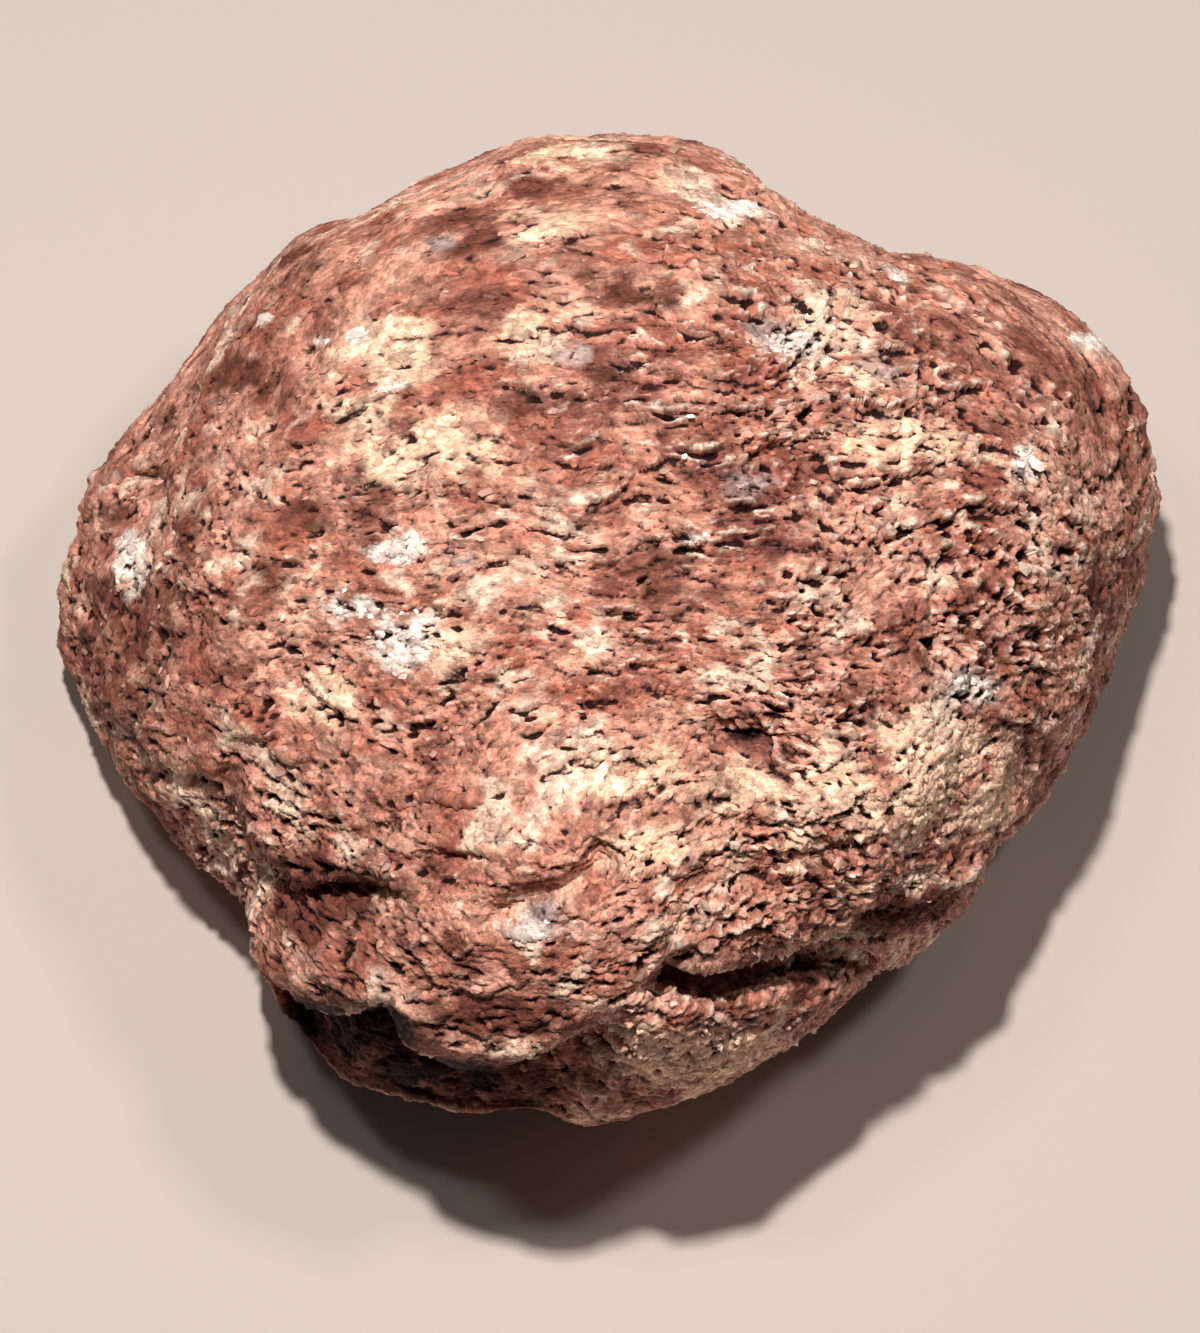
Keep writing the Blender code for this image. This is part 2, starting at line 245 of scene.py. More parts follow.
# Patches of colour on the show face, given the same way, under the measure that each table becomes
COLOUR_PATCHES = {
    # Rust stains; those on the belly's underside, in the recess under its lip, on the low left and along the
    # right edge are painted shade
    "stain_and_shade": (
        (-26, 15, 5, 3, 0.8), (-15, 42, 5, 3.5, 0.9), (-7.5, 47.5, 5, 2.5, 0.7), (5.5, 3, 4, 6.5, 0.7),
        (-1, 27.5, 5, 5, 0.8), (2, 35, 7, 3, 0.8), (-39.5, 26, 7, 4, 0.8), (-36, 5, 4, 5, 0.6),
        (-33, 11, 5, 3, 0.7), (-8.5, 22, 4, 3, 0.6), (-53, -3, 8, 13, 0.8), (-46, 10, 3, 8, 0.7),
        (-30, -48, 12, 8, 1.0), (-12, -50, 12, 4, 1.0), (32, -31, 10, 4, 0.8), (33, -3.5, 4, 3, 0.7),
        (-48, -22, 9, 5, 0.3), (12, -11, 5, 3, 0.4), (-35, 40, 6, 4, 0.6), (57, 12, 4, 12, 0.35),
        (-9.5, -42.5, 10, 3.5, 1.0), (-31, -30, 10, 7, 0.9), (54, 2, 4, 9, 0.6), (-30, -17, 11, 6, 0.5),
    ),
    # Ochre and cream; the patch on the toe is a painted pool of light
    "ochre_and_light": (
        (-19.5, 17.5, 9, 5, 1.0), (-23, 29, 8, 5, 0.9), (-4, 52, 9, 3, 0.7), (33.5, -17.5, 12, 8, 1.0),
        (-30.5, -9, 4.5, 4.5, 0.7), (-7, 43, 6, 3, 0.6), (-17.5, -2.5, 6, 4, 0.8), (2, -17, 11, 5, 0.6),
        (-9, 31, 4, 3, 0.7), (-26, 22, 5, 4, 0.7), (46, 14, 6, 6, 0.5), (25, 33, 8, 5, 0.4),
        (5, -25, 8, 4, 0.6), (31, 18.5, 9, 5, 0.7), (27, 25, 6, 4, 0.6), (12, 20, 5, 3, 0.4),
        (14, -18, 8, 4, 0.7), (10, -47, 10, 4, 1.0), (20, -24, 8, 5, 0.5),
    ),
    "quartz": (
        (-22, -2.5, 5, 3.6, 1.0), (-27.5, 0.5, 3.6, 2.6, 1.0), (-53, 6, 2, 3.6, 1.0),
        (20, 29.5, 3.4, 1.8, 0.9), (13.5, 45, 3.6, 1.4, 1.0), (54, 31, 3, 1.4, 0.8),
        (-38, 33, 1.3, 1.2, 1.0), (-31, 30, 1.4, 1, 0.9), (-27, 30.5, 1.6, 1, 0.9),
        (-23.5, 25, 2, 1.6, 0.7), (45.5, 17, 2, 3, 0.8), (-7.5, -33, 5, 2.6, 0.6), (39, -8, 3.4, 2.4, 0.7),
        (9, 8, 1.2, 0.8, 0.8), (-22, 7, 5, 2, 0.75), (16, 52, 4, 1.4, 0.6), (32, 38, 3, 2, 0.6),
    ),
    "lilac": (
        (-3.5, 28.5, 3, 2, 0.9), (18, 31, 4, 2.2, 0.9), (39, -8, 4, 3, 0.9), (15, 14, 4, 3, 0.6),
        (-16, 6, 3, 2, 0.6), (-18, 41, 3, 1.5, 0.5), (30, 27, 5, 3, 0.5), (-6, -32, 6, 3, 0.6),
    ),
    # Painted shade: the recess under the belly's lip, the deep hole and the right pit
    "dark": (
        (-28, -44, 9, 4, 1.0), (-18, -49, 8, 3, 1.0), (23.5, -38, 4.5, 1.5, 0.9), (14.5, -12.5, 2.5, 1, 0.7),
    ),
}
PATCH_SEED = 61

# How strongly noise tears the patches' edges, the length of its tears, and the weight and the number to one
# of the finer tears in them
PATCH_TEAR = 1.3
PATCH_TEAR_LENGTH = 5 * MM
FINE_TEAR_WEIGHT = 0.6
FINE_TEAR_COUNT = 2.3

# Blotches all over: their lengths, and the weight of each
BLOTCHES = ((11 * MM, 0.9), (5 * MM, 0.8), (2.4 * MM, 0.6), (1.1 * MM, 0.45))
BLOTCH_SEED = 81

# Loose flakes bedded in the crust, two pieces of them. Each has its count, how long a flake is, how wide and
# thick for its length, how it leans out at its lower edge in degrees, and whether it keeps to pale places
FLAKE_SETS = (
    ("salmon_flakes", 5000, 0.75 * MM, 0.65, 0.25, 14, False),
    ("quartz_flakes", 6000, 0.8 * MM, 0.7, 0.28, 12, True),
)

# A flake's corners, their distance from its middle in half lengths, and how far its points stray: in radians
# around it, and as a share of its half length or half thickness
FLAKE_CORNERS = 6
CORNER_REACH = (0.7, 1.2)
FLAKE_STRAY = 0.3

# How flakes vary: the logarithm of their size, their turn in radians, and the share of their lean
FLAKE_SPREAD = 0.35
TURN_SPREAD = 0.5
LEAN_SPREAD = 0.6
FLAKE_SEED = 71

# Where flakes lie: how many of them on the sides turned away, where the show face gives way to those, and
# the least height above the floor
HIDDEN_SIDE_SHARE = 0.35
SHOW_EDGE = (-0.3, 0.2)
FLAKE_FLOOR_GAP = 1.5 * MM

# For the flakes that keep to pale places: how pale ochre is beside white quartz, and how pale all crust is
OCHRE_PALENESS = 0.6
LEAST_PALENESS = 0.12

# What a flake's colour adds to that of the crust under it: spread of its tone, its crest, which pales it
# partly as a painted highlight, and the spread of its stain and quartz, and more quartz for a pale one
FLAKE_TONE_SPREAD = 0.5
FLAKE_CREST = 0.1
FLAKE_STAIN_SPREAD = 0.2
FLAKE_QUARTZ_SPREAD = 0.12
PALE_FLAKE_QUARTZ = 0.1

# Colours of the crust, from rust in its hollows to bare quartz. The hollows' red is deepened as painted
# shade, and the crests' cream is partly a painted highlight
TERRACOTTA = "A4614F"
SALMON = "DBA28E"
MAROON = "854F43"
CREAM_QUARTZ = "EFCFBA"
CREST_CREAM_AND_HIGHLIGHT = "F3DCCB"
RUST_STAIN_AND_SHADE = "744236"
OCHRE_CREAM_AND_LIGHT = "F8D2B8"
LILAC_GREY = "B49C98"
WHITE_QUARTZ = "F5E6DD"
HOLLOW_RUST_AND_SHADE = "280805"

# Each tint over the base: its measure, its colour, and the measure where it starts and where it is full
TINTS = (
    ("blotch", CREAM_QUARTZ, 0.08, 0.6),
    ("blotch", MAROON, -0.08, -0.6),
    # Paler crests: partly bare quartz, partly a painted highlight on the high points
    ("crest", CREST_CREAM_AND_HIGHLIGHT, 0.1, 0.8),
    # Rust stains, with painted shade where the stain table lies on the belly's underside, the low left and
    # the right edge
    ("stain_and_shade", RUST_STAIN_AND_SHADE, 0.25, 0.85),
    # Ochre and cream, with a painted pool of light on the toe
    ("ochre_and_light", OCHRE_CREAM_AND_LIGHT, 0.25, 0.8),
    ("lilac", LILAC_GREY, 0.3, 0.8),
    ("quartz", WHITE_QUARTZ, 0.35, 0.7),
    # Darker hollows: partly rust in them, partly painted shade in the crevices
    ("crest", HOLLOW_RUST_AND_SHADE, -0.02, -0.34),
    # Painted shade in the recess under the belly's lip, the deep hole and the right pit
    ("dark", HOLLOW_RUST_AND_SHADE, 0.3, 0.8),
)
TINT_TEAR = 1.0

# Sizes in millimetres of the patterns in the crust, and the height of the finest relief
MOTTLE = 5.0
SPECKLE = 2.2
GRAIN = 0.6
FINE_GRIT = 0.25
BUMP_HEIGHT = 0.2 * MM

# Where the mottle goes from terracotta to salmon
MOTTLE_EDGE = (0.36, 0.64)

# How dark the darkest and how light the lightest grain and grit are, and how much a flake's tone counts
GRAIN_TONES = (0.7, 1.22)
GRIT_TONES = (0.65, 1.25)
FLAKE_TONE_SHARE = 0.3

# Roughness of the most powdery and of the barest grains, quartz's index, and the glint that powder leaves it
POWDERY, BARE = 0.95, 0.6
QUARTZ_IOR = 1.54
POWDER_GLINT = 0.25

# How far the gaps between grains sink and the grit rises in the finest relief
GAP_SINK = -0.7
GRIT_RISE = 0.5

# The floor: its colour, how dull it is and its width
FLOOR_GREY = "BFB7B2"
FLOOR_ROUGHNESS = 0.8
FLOOR_WIDTH = 12.0

# Camera: its distance, and the spot on the show face's mid plane at the middle of the picture
CAMERA_DISTANCE = 0.9
PICTURE_MIDDLE = MM * np.array([-0.8, -5.4, 0.0])
SENSOR = 36.0
PICTURE_HEIGHT = 147.5 * MM

# Lights: name, direction, size and power, with their distance and colour, and the dim room around them
LIGHTS = (
    ("key", (-0.09, 0.0, 1.0), 0.05, 11.2),
    ("second", (0.42, 0.0, 0.9), 0.1, 1.7),
    ("third", (-0.3, 0.0, 0.95), 0.1, 0.9),
)
LIGHT_DISTANCE = 1.0
LAMP_WHITE = "FFF6EE"
ROOM_WHITE = "FFF4EA"
ROOM_STRENGTH = 0.045


def lattice_dice(lattice, seed):
    """Three random numbers from 0 to 1 for each whole-number place, by multiplying and mixing its bits."""
    x, y, z = lattice.astype(np.uint32).T
    mixed = x * np.uint32(73856093) ^ y * np.uint32(19349663) ^ z * np.uint32(83492791)
    mixed = (mixed ^ np.uint32(seed * 2654435 + 97)) * np.uint32(1274126177)
    mixed = (mixed ^ mixed >> np.uint32(15)) * np.uint32(2246822519)
    mixed ^= mixed >> np.uint32(13)
    return np.stack([mixed >> np.uint32(shift) & np.uint32(1023) for shift in (0, 10, 20)], axis=1) / 1023


def gradient_noise(places, seed):
    """Smooth noise, about -0.7 to 0.7, one value for each row of places, with features one unit across.

    Each corner of the unit cell around a place has a random slope. The slope times the way from the corner
    gives a height, and the eight heights are blended by 6t^5 - 15t^4 + 10t^3 along each axis.
    """
    cell = np.floor(places).astype(np.int64)
    inside = places - cell
    fade = inside**3 * (inside * (inside * 6 - 15) + 10)
    total = np.zeros(len(places))
    for corner in itertools.product((0, 1), repeat=3):
        slope = 2 * lattice_dice(cell + corner, seed) - 1
        weight = np.where(corner, fade, 1 - fade).prod(axis=1)
        total += weight * (slope * (inside - corner)).sum(axis=1)
    return total


def rim_radius(angles, blur):
    """Distance of the rim from the middle of the face at each angle.

    The rim's points are joined by straight lines in angle and radius, then softened by a running mean.
    """
    corner_angles = np.arctan2(RIM[:, 1], RIM[:, 0])
    order = np.argsort(corner_angles)
    corner_radii = np.hypot(RIM[:, 0], RIM[:, 1])
    samples = np.linspace(-math.pi, math.pi, RIM_SAMPLES, endpoint=False)
    radii = np.interp(samples, corner_angles[order], corner_radii[order], period=2 * math.pi)
    shifts = range(-blur, blur + 1)
    radii = sum(np.roll(radii, shift) for shift in shifts) / len(shifts)
    return np.interp(angles, samples, radii, period=2 * math.pi)


def blown_up(directions):
    """Right, up and out of a boxy egg that has the stone's rim.

    A direction at the angle p from "out" goes to radius R s and depth D c, where s and c are sin p
    and cos p divided by (|sin p|^m + |cos p|^m)^(1/m). D and m are the depth and squareness in front of the
    rim or behind it. R is the rim's radius, and goes over to the softer girth as exp(-(cos p / notch)^2)
    falls. Then the whole egg leans, and sags by the square of the way across.
    """
    turn = np.arctan2(directions[:, 1], directions[:, 0])
    sine = np.hypot(directions[:, 0], directions[:, 1])
    cosine = directions[:, 2]
    front = cosine > 0
    front_squareness = FRONT_SQUARENESS + RIGHT_SQUARENESS_GAIN * np.cos(turn)
    squareness = np.where(front, front_squareness, BACK_SQUARENESS)
    size = (sine**squareness + np.abs(cosine) ** squareness) ** (1 / squareness)
    near_rim = np.exp(-((cosine / NOTCH_DEPTH) ** 2))
    girth = near_rim * rim_radius(turn, RIM_BLUR) + (1 - near_rim) * rim_radius(turn, GIRTH_BLUR)
    radius = girth * sine / size
    depth = np.where(front, FRONT_DEPTH, BACK_DEPTH) * cosine / size
    across, up = radius * np.cos(turn), radius * np.sin(turn)
    sag = RIM_SAG * (across / RIM_REACH) ** 2
    return np.stack([across, up, depth + RIM_LEAN * up - sag], axis=1)


def smooth_step(values, low, high):
    """0 below low, 1 above high, and 3t^2 - 2t^3 between them."""
    share = np.clip((values - low) / (high - low), 0, 1)
    return share * share * (3 - 2 * share)


def beside_path(flat, path):
    """How each point of the face lies to a path of straight runs: signed distance, fade and the way across.

    The distance is above 0 on the left of the path. The fade is 1 along the path and falls to 0 at its ends.
    The way across is the unit vector from left to right of the nearest run.
    """
    path = MM * np.array(path, dtype=float)
    starts, runs = path[:-1], np.diff(path, axis=0)
    lengths = np.linalg.norm(runs, axis=1)
    reach = flat[:, None, :] - starts
    share = np.clip((reach * runs).sum(axis=2) / lengths**2, 0, 1)
    distances = np.linalg.norm(reach - share[..., None] * runs, axis=2)
    nearest = distances.argmin(axis=1)
    row = np.arange(len(flat))
    run, reach, share = runs[nearest], reach[row, nearest], share[row, nearest]
    side = np.where(run[:, 0] * reach[:, 1] > run[:, 1] * reach[:, 0], 1, -1)
    travelled = (np.cumsum(lengths) - lengths)[nearest] + share * lengths[nearest]
    end_gap = np.minimum(travelled, lengths.sum() - travelled) / lengths.sum()
    across = np.stack([run[:, 1], -run[:, 0]], axis=1) / lengths[nearest, None]
    return side * distances[row, nearest], smooth_step(end_gap, 0, 0.2), across


def carve_face(body, shown):
    """Adds the swells, ledges and folds to the show face, as far as each point is shown.

    A swell is rise exp(-q^2), with q the distance from its middle in half widths. A fold is the same across
    its path. A ledge adds rise exp(-d / above) over its wall, takes off drop exp(-d / below) under it, and
    pushes its lip out over the low side. Noise shifts the places first, so that no edge runs smooth.
    """
    stray = [gradient_noise(body / RAGGED_LENGTH, RAGGED_SEED + axis) for axis in range(2)]
    flat = body[:, :2] + RAGGED * np.column_stack(stray)
    rise = np.zeros(len(body))
    slide = np.zeros_like(flat)
    for right, up, half_width, half_height, height in SWELLS.values():
        q_squared = (((flat / MM - (right, up)) / (half_width, half_height)) ** 2).sum(axis=1)
        rise += MM * height * np.exp(-q_squared)
    for height, half_width, path in FOLDS.values():
        distance, fade, _ = beside_path(flat, path)
        rise += MM * height * fade * np.exp(-((distance / (MM * half_width)) ** 2))
    for lift, drop, overhang, above, below, path in LEDGES.values():
        distance, fade, across = beside_path(flat, path)
        wall = LEDGE_WALL + WALL_SHARE * MM * drop
        high = fade * smooth_step(distance, -wall, wall) * np.exp(-np.abs(distance) / (MM * above))
        low = fade * smooth_step(-distance, -wall, wall) * np.exp(-np.abs(distance) / (MM * below))
        rise += MM * (lift * high - drop * low)
        slide += MM * overhang * high[:, None] * across
    body[:, :2] += shown[:, None] * slide
    body[:, 2] += shown * rise


def break_back(body):
    """Flattens what stands out past each break, and leaves a part of the rise so that no break is a plane."""
    for right, up, out, distance in BREAKS.values():
        normal = np.array([right, up, out])
        normal /= np.linalg.norm(normal)
        excess = np.maximum(body @ normal - MM * distance, 0)
        body -= BREAK_FLATNESS * excess[:, None] * normal


def stone_body(directions):
    """The smooth form as right, up and out from the stone's middle, for unit directions given so."""
    body = blown_up(directions)
    shown = smooth_step(directions[:, 2], 0.0, 0.3)
    carve_face(body, shown)
    break_back(body)
    lumps = sum(
        height * gradient_noise(body / length + number, LUMP_SEED)
        for number, (length, height) in enumerate(zip(LUMP_LENGTHS, LUMP_HEIGHTS))
    )
    return body + lumps[:, None] * directions


def unit(vectors):
    """The vectors divided by their lengths."""
    return vectors / np.linalg.norm(vectors, axis=1)[:, None]


def spread_to_sphere(places):
    """Unit directions for places on a cube from -1 to 1: tan(pi t / 4) of each place t, cut to length 1."""
    return unit(np.tan(places * math.pi / 4))


def drawn_forward(directions):
    """Directions drawn towards "out", so that the show face gets the finer mesh.

    The angle p from "out" becomes q, where tan(q / 2) = f tan(p / 2) and f is FACE_FINENESS.
    """
    squeeze = FACE_FINENESS**2
    out = directions[:, 2]
    size = 1 + out + squeeze * (1 - out)
    flat = 2 * FACE_FINENESS * directions[:, :2] / size[:, None]
    return np.column_stack([flat, (1 + out - squeeze * (1 - out)) / size])


def cube_lattice(steps):
    """The whole-number places of an even grid on a cube's six sides, and the four corners of each square."""
    first, second = (grid.ravel() for grid in np.meshgrid(*[np.arange(steps + 1)] * 2, indexing="ij"))
    row = np.arange(steps)
    start = (row[:, None] * (steps + 1) + row).ravel()
    square = start[:, None] + [0, steps + 1, steps + 2, 1]
    places, squares = [], []
    for axis in range(3):
        for end in (0, steps):
            side = np.empty((len(first), 3), dtype=np.int64)
            side[:, axis] = end
            side[:, (axis + 1) % 3] = first if end else second
            side[:, (axis + 2) % 3] = second if end else first
            squares.append(square + len(places) * len(first))
            places.append(side)
    places, merged = np.unique(np.concatenate(places), axis=0, return_inverse=True)
    return places, merged.ravel()[np.concatenate(squares)]


def point_normals(points, squares):
    """Unit normals at the points: the summed cross products of the diagonals of the squares around one."""
    corners = points[squares]
    crosses = np.cross(corners[:, 2] - corners[:, 0], corners[:, 3] - corners[:, 1])
    totals = np.stack([
        np.bincount(squares.ravel(), np.repeat(crosses[:, axis], 4), len(points)) for axis in range(3)
    ], axis=1)
    return unit(totals)


def layer_places(body):
    """Where each point lies in the quartz layers: along a layer, across the layers, and into the stone.

    The layers are nested arches about a line below the show face, which dip into the stone and waver.
    """
    right, up = body[:, 0], body[:, 1] + ARCH_DROP
    waver = LAYER_WAVER * gradient_noise(body / WAVER_LENGTH, WAVER_SEED)
    along = np.arctan2(right, up) * ARCH_DROP
    across = np.hypot(right, up) + LAYER_DIP * body[:, 2] + waver
    return np.column_stack([along, across, body[:, 2]])


def patches(body, table, edge_seed):
    """How far each point lies in the patches of a table, from 0 to 1: the largest of strength exp(-q^2).

    q is the distance from the patch's middle in half widths. Noise then raises and lowers the whole by its
    share, which tears the patch's edge.
    """
    flat = body[:, :2] / MM
    tear = gradient_noise(body / PATCH_TEAR_LENGTH, edge_seed)
    tear += FINE_TEAR_WEIGHT * gradient_noise(body / PATCH_TEAR_LENGTH * FINE_TEAR_COUNT, edge_seed + 1)
    total = np.zeros(len(body))
    for right, up, half_width, half_height, strength in table:
        q_squared = (((flat - (right, up)) / (half_width, half_height)) ** 2).sum(axis=1)
        total = np.maximum(total, strength * np.exp(-q_squared))
    return np.clip(total * (1 + PATCH_TEAR * tear), 0, 1)


def nearest_cells(places, seed):
    """The nearest of random spots, one in each unit cell: the way from it, the gap to the next, and its dice.

    The gap is the distance to the second nearest spot less that to the nearest, so it is 0 between two cells.
    """
    cell = np.floor(places).astype(np.int64)
    nearest, second = np.full((2, len(places)), np.inf)
    dice, way = np.zeros((2, len(places), 3))
    for step in itertools.product((-1, 0, 1), repeat=3):
        rolls = lattice_dice(cell + step, seed)
        from_spot = places - cell - step - rolls
        distance = np.linalg.norm(from_spot, axis=1)
        closer = distance < nearest
        second = np.where(closer, nearest, np.minimum(second, distance))
        nearest = np.where(closer, distance, nearest)
        dice[closer], way[closer] = rolls[closer], from_spot[closer]
    return way, second - nearest, dice


def crust_relief(layers, roughness):
    """Height of the crust over the smooth form, and a tone for each grain.

    Steps: a layer stands out by 1/2 - t, where t is the share of the way up across it, so its lower edge
    overhangs the layer below. Noise bends the edges, and fades the steps in and out. Grains: each random
    cell is a scale at its own level, which leans out at its lower edge and sinks to the gap around it. Pits:
    a smooth step in a sum of noises takes the height away.
    """
    height = np.zeros(len(layers))
    for number, (thickness, rise) in enumerate(LAYER_STEPS):
        bend = gradient_noise(layers / (thickness * STEP_BEND_STRETCH), STEP_BEND_SEED + number)
        stray = gradient_noise(layers / (thickness * STEP_STRAY_STRETCH), STEP_STRAY_SEED + number)
        phase = layers[:, 1] / thickness + STEP_BEND * bend + STEP_STRAY * stray
        faded_places = layers / (STEP_SHOW_STRETCH * thickness) + STEP_SHOW_SHIFT
        fade = gradient_noise(faded_places, STEP_SHOW_SEED + number)
        share = smooth_step(fade, -STEP_SHOW_EDGE, STEP_SHOW_EDGE)
        share *= 1 - STEP_ROUGH_SHARE + STEP_ROUGH_SHARE * roughness
        height += rise * share * (0.5 - phase % 1)
    for number, (length, rise) in enumerate(SWELL_NOISE):
        height += rise * gradient_noise(layers / (length * GRAIN_STRETCH), SWELL_SEED + number)
    tone = np.zeros(len(layers))
    for number, (length, rise) in enumerate(GRAINS):
        way, gap, dice = nearest_cells(layers / (length * GRAIN_STRETCH), GRAIN_SEED + number)
        scale = dice[:, 0] - GRAIN_LEAN * way[:, 1] + GRAIN_TWIST * (dice[:, 1] - 0.5) * way[:, 0]
        height += rise * roughness * scale * smooth_step(gap, *GRAIN_GAP)
        tone += dice[:, 2] - 0.5
    torn = sum(
        weight * gradient_noise(layers / (length * PIT_STRETCH), PIT_SEED + number)
        for number, (length, weight) in enumerate(PIT_NOISES)
    )
    return height - PIT_DEPTH * roughness * smooth_step(torn, PIT_START, PIT_FULL), tone


def blurred(values, squares, rounds):
    """Values evened out over the mesh: each round takes the mean of the squares' means around a point."""
    around = np.bincount(squares.ravel())
    for _ in range(rounds):
        means = np.repeat(values[squares].mean(axis=1), 4)
        values = np.bincount(squares.ravel(), means) / around
    return values


def blotches(layers):
    """A number from about -1 to 1 that varies over the crust: noise at each length times its weight."""
    return sum(
        weight * gradient_noise(layers / (length * np.sqrt(GRAIN_STRETCH)), BLOTCH_SEED + number)
        for number, (length, weight) in enumerate(BLOTCHES)
    )


def dressed_skin():
    """The skin's points, squares and measures: the smooth form, with the crust's height along its normals.

    The measure "crest" is how far the crust stands above its surroundings, in millimetres.
    """
    coarse_places, _ = cube_lattice(GRID_STEPS)
    coarse = stone_body(spread_to_sphere(coarse_places / GRID_STEPS * 2 - 1)) @ FACE_AXES
    rest_level = coarse[:, 2].min() + REST_CUT
    coarse[:, 2] = np.maximum(coarse[:, 2], rest_level)
    shift = np.array(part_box("stone")[0]) - coarse.min(axis=0)

    places, squares = cube_lattice(SKIN_STEPS)
    directions = drawn_forward(spread_to_sphere(places / SKIN_STEPS * 2 - 1))
    body = stone_body(directions)
    layers = layer_places(body)
    roughness = SMOOTHEST + (ROUGHEST - SMOOTHEST) * patches(body, ROUGH_PATCHES, PATCH_SEED)
    relief, tone = crust_relief(layers, roughness)
    body += relief[:, None] * point_normals(body, squares)
    points = body @ FACE_AXES + shift
    points[:, 2] = np.maximum(points[:, 2], 0)
    measures = {
        "crest": (relief - blurred(relief, squares, RELIEF_BLUR_ROUNDS)) / MM,
        "tone": tone,
        "blotch": blotches(layers),
    }
    for number, (measure, table) in enumerate(COLOUR_PATCHES.items(), start=1):
        measures[measure] = patches(body, table, PATCH_SEED + number)
    return directions, points, squares, layers, measures, shift


def skin_quarters(directions, points, squares, layers, measures, material):
    """The skin as four pieces that meet edge to edge, one for each quarter of the show face and behind it."""
    middles = directions[squares].mean(axis=1)
    quarter = 2 * (middles[:, 0] > 0) + (middles[:, 1] > 0)
    for number, name in enumerate(SKIN_PIECES):
        used, kept = np.unique(squares[quarter == number], return_inverse=True)
        own = {measure: values[used] for measure, values in measures.items()}
        skin = mesh_piece(name, points[used], kept.reshape(-1, 4), layers[used], own, material)
        skin.data.shade_smooth()
        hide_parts("stone")


def mesh_piece(name, points, faces, layers, measures, material):
    """An object on the stone's body, whose mesh carries the layer places in millimetres and the measures."""
    mesh = bpy.data.meshes.new(name)
    mesh.from_pydata(points, [], faces)
    mesh.attributes.new("layers", "FLOAT_VECTOR", "POINT").data.foreach_set("vector", (layers / MM).ravel())
    for measure, values in measures.items():
        mesh.attributes.new(measure, "FLOAT", "POINT").data.foreach_set("value", values)
    mesh.materials.append(material)
    piece = bpy.data.objects.new(name, mesh)
    bpy.context.scene.collection.objects.link(piece)
    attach(piece, "root")
    return piece


def scattered_places(points, squares, count, chance, dice):
    """Random places on the skin: the corners of the square each lies in, and their shares of it.

    A square is drawn with a probability of its area times the chance there, and the place in it evenly.
    """
    corners = points[squares]
    areas = np.linalg.norm(np.cross(corners[:, 2] - corners[:, 0], corners[:, 3] - corners[:, 1]), axis=1)
    total = np.cumsum(areas * chance[squares].mean(axis=1))
    drawn = squares[np.searchsorted(total, dice.random(count) * total[-1])]
    first, second = dice.random((2, count))
    shares = [(1 - first) * (1 - second), first * (1 - second), first * second, (1 - first) * second]
    return drawn, np.stack(shares, axis=1)


def flakes(places, normals, rising, length, width_share, thickness_share, lean, dice):
    """Points and triangles of flat grains that lie in the layers and lean out at their lower edges.

    Each grain is a ring of corners, at nearly even angles and uneven distances, joined to a point above and
    one below. It lies along the layer, is turned at random a little, and tips about its length by its lean.
    """
    count, ring = len(places), FLAKE_CORNERS
    along = unit(np.cross(rising, normals))
    turn = dice.normal(0, TURN_SPREAD, (count, 1))
    level = np.cross(normals, along)
    along, level = np.cos(turn) * along + np.sin(turn) * level, np.cos(turn) * level - np.sin(turn) * along
    tip = np.radians(lean * dice.normal(1, LEAN_SPREAD, (count, 1)))
    across = np.cos(tip) * level - np.sin(tip) * normals
    thick = np.cross(along, across)
    half = length / 2 * np.exp(dice.normal(0, FLAKE_SPREAD, (count, 1)))
    angles = np.arange(ring) * 2 * math.pi / ring + dice.uniform(-FLAKE_STRAY, FLAKE_STRAY, (count, ring))
    radii = dice.uniform(*CORNER_REACH, (count, ring)) * half
    lifts = dice.uniform(-FLAKE_STRAY, FLAKE_STRAY, (count, ring)) * half * thickness_share
    corners = (
        places[:, None]
        + (radii * np.cos(angles))[..., None] * along[:, None]
        + (radii * np.sin(angles) * width_share)[..., None] * across[:, None]
        + lifts[..., None] * thick[:, None]
    )
    top_stray = dice.uniform(-FLAKE_STRAY, FLAKE_STRAY, (count, 1))
    top = places + half * (thickness_share * thick + top_stray * along)
    bottom = places - half * thickness_share * thick
    points = np.concatenate([corners, top[:, None], bottom[:, None]], axis=1)
    here, ahead = np.arange(ring), np.roll(np.arange(ring), -1)
    upper = np.column_stack([here, ahead, np.full(ring, ring)])
    lower = np.column_stack([ahead, here, np.full(ring, ring + 1)])
    one = np.concatenate([upper, lower])
    faces = (np.arange(count)[:, None, None] * (ring + 2) + one).reshape(-1, 3)
    return points.reshape(-1, 3), faces


def between_corners(values, drawn, shares):
    """Values at places inside squares of the skin: those at the four corners times their shares, added up."""
    return (values[drawn] * shares.reshape(shares.shape + (1,) * (values.ndim - 1))).sum(axis=1)


